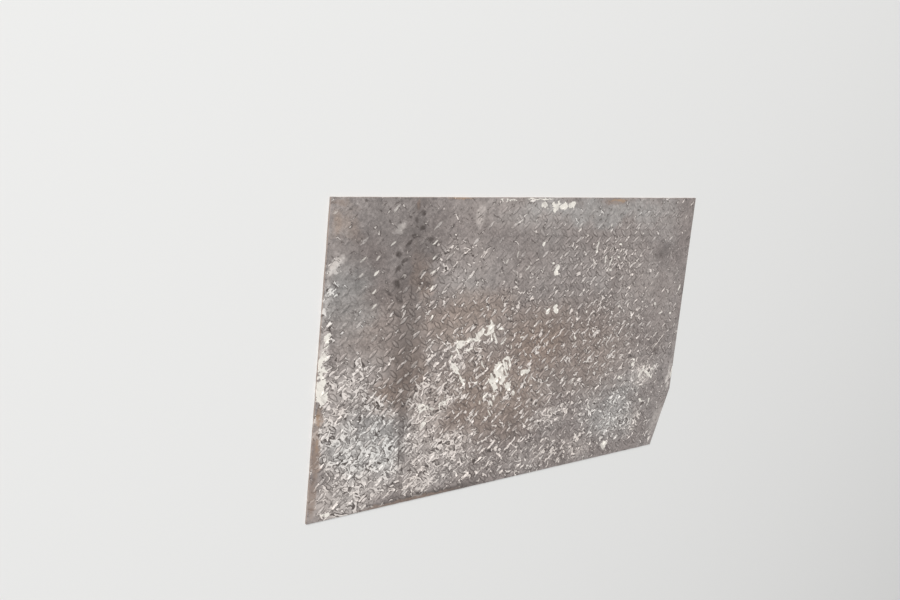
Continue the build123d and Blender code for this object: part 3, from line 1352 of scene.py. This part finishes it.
def marks() -> Marks:
    """Lists the marks that the face shows, in millimetres from its top left corner.

    Returns:
        The ovals of each kind of mark.
    """
    return {
        StainKind.PAINT: ovals(
            # The middle splash
            (291, 285, 18, 11, -5), (284, 298, 11, 4, -55, 0.05), (313, 298, 12, 5, 40, 0.05),
            (306, 279, 18, 4, 20, 0.05), (335, 268, 21, 10, 44), (328, 280, 17, 4, 2, 0.1),
            (362, 258, 18, 12, 80, 0.15), (397, 288, 16, 5, 45, 0.35), (268, 311, 9, 4, -62, 0.1),
            (284, 338, 24, 8, -42, 0.42), (304, 366, 16, 5, -60, 0.35), (398, 358, 38, 19, -64, 0.22),
            (384, 380, 30, 12, -58, 0.2), (424, 392, 16, 10, -58, 0.2),
            # The lower right splash
            (849, 404, 18, 5, 30, 0.15), (866, 412, 20, 5, -15, 0.1), (880, 424, 20, 5, -38, 0.15),
            (858, 427, 18, 5, 10, 0.15), (886, 406, 13, 4, -30, 0.2), (843, 418, 14, 4, 60, 0.2),
            (812, 380, 12, 6, 80, 0.1), (773, 416, 12, 7, 20, 0.2),
            # Spots round the middle
            (465, 365, 19, 10, 15, 0.05), (366, 405, 13, 5, 45), (389, 414, 12, 5, -80),
            (252, 411, 34, 12, 15, 0.44), (214, 408, 18, 13, 0, 0.2), (219, 440, 22, 13, 60, 0.3),
            # The upper edge
            (372, -4, 34, 3, 1, 0.45), (470, 3, 14, 8), (498, 4, 18, 14, 70), (520, 5, 18, 12),
            (543, 0, 13, 10),
            # The lower edge and a stroke above it
            (752, 592, 14, 16), (618, 402, 22, 6, 45, 0.3), (14, 596, 22, 5, -8, 0.55),
            # The left edge
            (-2, 292, 40, 14, 92, 0.4), (-4, 335, 34, 16, 92, 0.1), (-1, 358, 18, 18, 90, 0.0),
            (4, 250, 26, 9, 90, 0.5),
        ),
        StainKind.FLECK_AND_GLINT: ovals(
            # Spots above the middle
            (478, 84, 5, 4, 60), (525, 135, 8, 6, 60), (521, 146, 9, 6, 80), (511, 125, 4, 3),
            # Streaks of the middle splash
            (290, 282, 13, 7, -5), (338, 266, 10, 5, 50), (362, 245, 8, 2.4, -70), (361, 252, 14, 2.8),
            (362, 266, 12, 5, 11), (361, 258, 9, 3, -77), (368, 259, 9, 3, 86), (376, 280, 15, 2.4, -68),
            (366, 280, 12, 2.4, -89, 0.2), (352, 269, 8, 2.6, -16), (389, 261, 9, 2.8),
            (421, 303, 6, 2, -82), (447, 284, 6, 2), (278, 328, 15, 3.2, -40), (287, 345, 11, 3.2, -32),
            (300, 358, 12, 2.2, -55, 0.3), (307, 373, 8, 2.6, -83, 0.1), (350, 335, 12, 2.4, -56),
            (341, 315, 5, 2, -64, 0.4), (413, 327, 11, 3.6, 4), (421, 340, 18, 3.2, -77),
            (407, 341, 17, 3, -72), (400, 349, 21, 4.2, -74), (395, 357, 22, 4.2, -66),
            (415, 361, 13, 2.6, -58), (414, 345, 15, 3.4, -72, 0.52), (388, 354, 11, 2.8, -27),
            (389, 365, 21, 3.8, -74), (381, 371, 19, 4, -63), (402, 373, 17, 3.6, -66),
            (380, 384, 24, 3, -58), (365, 377, 8, 2.2, 40, 0.2), (425, 392, 15, 4, -58),
            (417, 393, 10, 2.8, -72), (441, 410, 7, 4.5, -73), (338, 373, 4, 2.6, -42),
            (352, 418, 5, 2.4, -83, 0.2), (382, 425, 11, 2.8, -57, 0.1), (380, 447, 11, 2, -66, 0.4),
            (466, 364, 14, 5, 12, 0.1), (482, 384, 11, 2, 63, 0.45),
            # Spots at large
            (532, 222, 8, 6, 20), (536, 232, 9, 6, -30), (512, 231, 8, 5, 60), (669, 44, 4, 3),
            (707, 86, 4, 3), (706, 116, 3, 3), (731, 234, 4, 3), (628, 239, 3, 3),
            (603, 298, 9, 2.5, -60), (635, 90, 17, 3, 79), (666, 120, 12, 2, 88),
            (683, 125, 14, 2.2, 84), (687, 145, 6, 4), (858, 235, 6, 3.5, -40), (883, 260, 7, 2.5),
            (921, 263, 4, 3), (861, 488, 9, 4, -40), (895, 493, 9, 2.5, 85), (677, 477, 9, 2.5, -60),
            (940, 198, 11, 2.5, 80), (967, 424, 22, 2.5, 86),
            # Along the upper edge
            (455, -9, 42, 1.5, 1),
            # Painted glints: faint pale ticks on the crowns of worn lugs, where the light glints off them
            (10, 25, 7, 2, 30, 0.62), (124, 20, 8, 2, 45, 0.62), (210, 50, 8, 2, 50, 0.62),
            (123, 79, 9, 2.4, 45, 0.56), (212, 78, 9, 2.4, 40, 0.56), (66, 107, 12, 2.4, 42, 0.58),
            (95, 106, 8, 2.2, 45, 0.6), (212, 107, 7, 2.4, 45, 0.6), (93, 133, 9, 2.8, 42, 0.54),
            (64, 136, 7, 2.2, 45, 0.62), (211, 135, 9, 2.4, 35, 0.58), (90, 166, 9, 2.4, 45, 0.58),
            (210, 165, 8, 2.4, 35, 0.56), (184, 165, 6, 2.4, -50, 0.6), (91, 194, 10, 2.2, 45, 0.58),
            (215, 225, 9, 2.4, 60, 0.5), (386, 118, 9, 2.4, 45, 0.58), (412, 104, 9, 2.2, 80, 0.56),
            (442, 134, 9, 2.4, 45, 0.58),
        ),
        StainKind.FILM: ovals(
            (13, 115, 34, 14, 50, 0.1), (0, 170, 60, 7, 90, 0.5), (0, 280, 80, 14, 91, 0.35),
            (40, 590, 46, 20, 20, 0.45), (50, 568, 110, 60, 0, 0.42), (24, 90, 40, 110, 0, 0.87),
            (215, 560, 70, 60, 0, 0.72), (305, 560, 70, 50, 0, 0.78), (30, 345, 55, 50, 20, 0.55),
            (290, 130, 100, 120, 0, 0.8), (290, 290, 180, 110, 0, 0.84), (700, 120, 190, 110, 0, 0.84),
            (790, 190, 120, 90, 0, 0.78), (430, 15, 260, 60, 1, 0.79), (880, 240, 90, 140, 0, 0.86),
            (215, 462, 60, 140, 0, 0.52), (136, 53, 20, 11, 30, 0.35), (500, 180, 260, 150, 0, 0.9),
            (690, 20, 350, 80, 1, 0.83), (80, 320, 100, 60, 0, 0.8), (310, 26, 38, 18, 80, 0.5),
            (11, 470, 42, 6, -81, 0.15), (20, 560, 36, 6, 80, 0.5), (957, 440, 52, 10, 87, 0.25),
            (936, 545, 64, 26, 68, 0.72), (848, 418, 66, 46, 0, 0.44), (800, 400, 120, 90, 0, 0.8),
            (413, 146, 18, 2, -58, 0.2), (427, 149, 13, 2, 65, 0.3),
        ),
        StainKind.DUST: ovals(
            (60, 370, 100, 70, 70, 0.15), (90, 510, 190, 150, 0, 0.0), (270, 520, 170, 130, 0, 0.15),
            (240, 390, 130, 110, 0, 0.14), (290, 300, 150, 110, 10, 0.4), (400, 400, 210, 180, 0, 0.44),
            (280, 125, 100, 110, 0, 0.5), (205, 480, 60, 100, 0, 0.1), (480, 560, 420, 110, 0, 0.46),
            (655, 575, 120, 70, 0, 0.3), (680, 500, 110, 70, 0, 0.36), (120, 400, 70, 60, 0, 0.08),
            (570, 485, 160, 75, 0, 0.3), (520, 420, 120, 90, 0, 0.46), (660, 440, 170, 110, 0, 0.42),
            (45, 315, 90, 60, 0, 0.22), (55, 590, 80, 40, 0, 0.0), (420, 200, 130, 80, 0, 0.5),
            (215, 560, 80, 70, 0, 0.0), (700, 330, 400, 380, 0, 0.58), (856, 413, 80, 60, 0, 0.0),
            (845, 540, 80, 60, 0, 0.2), (700, 120, 120, 90, 0, 0.4), (20, 420, 80, 120, 0, 0.0),
            (780, 510, 160, 140, 0, 0.34), (5, 220, 150, 26, 90, 0.4),
        ),
        StainKind.SHEEN: ovals(
            (620, 10, 330, 45, 1, 0.3), (770, 500, 130, 110, 20, 0.35), (90, 470, 150, 110, 0, 0.2),
            (35, 180, 80, 110, 0, 0.1),
        ),
        StainKind.UMBER: ovals(
            (500, 300, 170, 120, 0, 0.0), (180, 330, 70, 130, 0, 0.2), (140, 365, 80, 55, 0, 0.1),
            (188, 150, 28, 90, 5, 0.35), (380, 400, 260, 170, 0, 0.05), (640, 330, 220, 150, 0, 0.4),
            (30, 45, 34, 40, 0, 0.4), (300, 235, 200, 90, 0, 0.12), (120, 250, 150, 130, 0, 0.62),
        ),
        StainKind.OIL: ovals(
            # Drips down the left
            (169, 11, 15, 9, 80, 0.15), (182, 24, 10, 8, 0, 0.1), (168, 37, 10, 8, -30, 0.1),
            (182, 51, 12, 10, 20), (166, 66, 12, 9, -10), (201, 72, 11, 9, 0, 0.1), (154, 80, 17, 7, 45),
            (181, 84, 12, 9, 0, 0.4), (136, 99, 11, 9), (181, 108, 15, 8, 45, 0.4),
            (211, 109, 12, 8, 45, 0.3), (149, 112, 16, 7, 45, 0.1), (136, 126, 14, 8, 50, 0.1),
            (112, 127, 13, 6, -30, 0.5), (148, 142, 17, 8, 45, 0.3), (136, 154, 17, 9, -50),
            (198, 155, 12, 8, 0, 0.4), (120, 170, 16, 7, -45, 0.3), (142, 185, 17, 8, -50, 0.25),
            (138, 211, 17, 8, -45, 0.3),
            # Stains
            (168, 90, 150, 60, 88, 0.62), (172, 70, 90, 30, 85, 0.52), (150, 150, 60, 26, 70, 0.55),
            (205, 100, 40, 22, 60, 0.62), (210, 40, 46, 40, 0, 0.8), (110, 70, 160, 130, 60, 0.74),
            (168, 300, 190, 44, 90, 0.56), (240, 607, 200, 12, -1, 0.2), (168, 480, 90, 12, 93, 0.6),
            (797, 363, 12, 9, 0, 0.25), (855, 105, 46, 28, 20, 0.6),
            # Chips along the left edge
            (1, 344, 13, 4, 50, 0.1), (-2, 372, 13, 5, 50, 0.1), (16, 153, 12, 4, -40, 0.2),
        ),
        StainKind.SCORE: ovals(
            (167, 172, 28, 2.2, 88, 0.2), (147, 172, 24, 2, 88, 0.3), (168, 218, 24, 2, 88, 0.4),
            (184, 231, 14, 2, 86, 0.4), (167, 283, 28, 2.2, 92, 0.4), (171, 440, 26, 2.4, 94, 0.1),
            (166, 500, 52, 2.6, 92, 0.0), (75, 103, 30, 1.6, -14, 0.5), (590, 200, 40, 1.6, 90, 0.6),
        ),
        StainKind.RUST: ovals(
            (-3, 395, 30, 9, 92, 0.15), (-8, 470, 80, 12, 92, 0.1), (-12, 555, 54, 12, 92, 0.2),
            (200, 608, 150, 7, -1, 0.25), (18, 8, 20, 9, 0, 0.55), (169, 8, 16, 6, 85, 0.4),
            (670, -9, 44, 8, 1, 0.35),
        ),
        StainKind.OCHRE: ovals(
            (14, 42, 32, 14, 90, 0.75), (262, -6, 36, 4, 1, 0.15), (680, -12, 44, 4, 1, 0.1),
            (-6, 400, 26, 6, 92, 0.35), (-8, 450, 16, 5, 92, 0.45),
        ),
        StainKind.WORN: ovals(
            (80, 80, 170, 150), (60, 220, 90, 110, 0, 0.25), (250, 30, 190, 80),
            (380, 110, 190, 130, 0, 0.2), (885, 150, 120, 200, 0, 0.3), (600, -5, 380, 70, 0, 0.3),
            (915, 480, 50, 120, 0, 0.4),
        ),
    }


@dataclass(frozen=True)
class Studio:
    """A pale floor, soft light from above and behind, and the viewpoint on the plate."""

    lens: float = 26.32
    sensor: float = 36.0
    eye: Point = (-0.9102, 0.4046, 1.0377)
    aim: Point = (-0.2197, 0.1082, 0.0060)
    plate_up: Point = (0.0, 1.0, 0.0)
    lean: float = 5.06
    floor_size: float = 12.0
    floor_roughness: float = 0.9
    key_place: Point = (-10.2, 9.6, 11.7)
    key_size: float = 6.6
    key_power: float = 3870.0
    sky: float = 0.30
    backdrop: Colour = (0.80, 0.80, 0.79, 1.0)

    def camera(self) -> None:
        """Sets the camera at the viewpoint, with the plate's upper edge level in the view."""
        data = bpy.data.cameras.new("camera")
        data.lens = self.lens
        data.sensor_width = self.sensor
        eye = Vector(self.eye)
        back = (eye - Vector(self.aim)).normalized()
        level = Vector(self.plate_up).cross(back).normalized()
        turned = Matrix((level, back.cross(level), back)).transposed()
        leaned = turned @ Matrix.Rotation(radians(self.lean), 3, "Z")
        view = linked("camera", data)
        view.matrix_world = Matrix.Translation(eye) @ leaned.to_4x4()
        bpy.context.scene.camera = view

    def floor(self) -> None:
        """Lays a pale floor under the plate."""
        mesh = bmesh.new()
        bmesh.ops.create_grid(mesh, x_segments=1, y_segments=1, size=self.floor_size / 2)
        floor = object_from(mesh, "floor")
        finish = ShaderSheet("pale_floor").finish(Base_Color=self.backdrop, Roughness=self.floor_roughness)
        floor.data.materials.append(finish)

    def light(self) -> None:
        """Lights the plate with one large soft lamp and an even sky, which looks plain itself."""
        data = bpy.data.lights.new("key", "AREA")
        data.shape = "SQUARE"
        data.size = self.key_size
        data.energy = self.key_power
        lamp = linked("key", data)
        lamp.location = self.key_place
        lamp.rotation_euler = Vector(self.key_place).to_track_quat("Z", "Y").to_euler()
        world = bpy.data.worlds.new("sky")
        world.use_nodes = True
        sheet = NodeSheet(world.node_tree)
        path = sheet.add("ShaderNodeLightPath").outputs
        seen = sheet.math("MAXIMUM", path["Is Camera Ray"], path["Is Glossy Ray"])
        seen = sheet.math("MAXIMUM", seen, path["Is Transmission Ray"])
        sky = sheet.add("ShaderNodeBackground", {"Strength": self.sky})
        plain = sheet.add("ShaderNodeBackground")
        picked = sheet.add("ShaderNodeMixShader", {0: seen, 1: sky.outputs[0], 2: plain.outputs[0]})
        sheet.add("ShaderNodeOutputWorld", {"Surface": picked.outputs[0]})
        bpy.context.scene.world = world

    def build(self) -> None:
        """Sets the floor, the light and the camera."""
        self.floor()
        self.light()
        self.camera()
        bpy.context.scene.view_settings.view_transform = "Standard"


def main() -> None:
    """Builds the plate, its finish and the studio, and reports the piece."""
    logging.basicConfig(level=logging.INFO)
    node = "tread_plate"
    outline = PlateOutline(*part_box(node))
    seen = marks()
    pattern = TreadPattern(outline, worn=seen[StainKind.WORN])
    steel = WeatheredSteel(outline, pattern, seen).material()
    piece = pattern.raise_on(PlateBody(outline).build(), steel)
    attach(piece, "root")
    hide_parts(node)
    LOG.info("%s: %d faces", piece.name, len(piece.data.polygons))
    Studio().build()


if __name__ == "__main__":
    main()
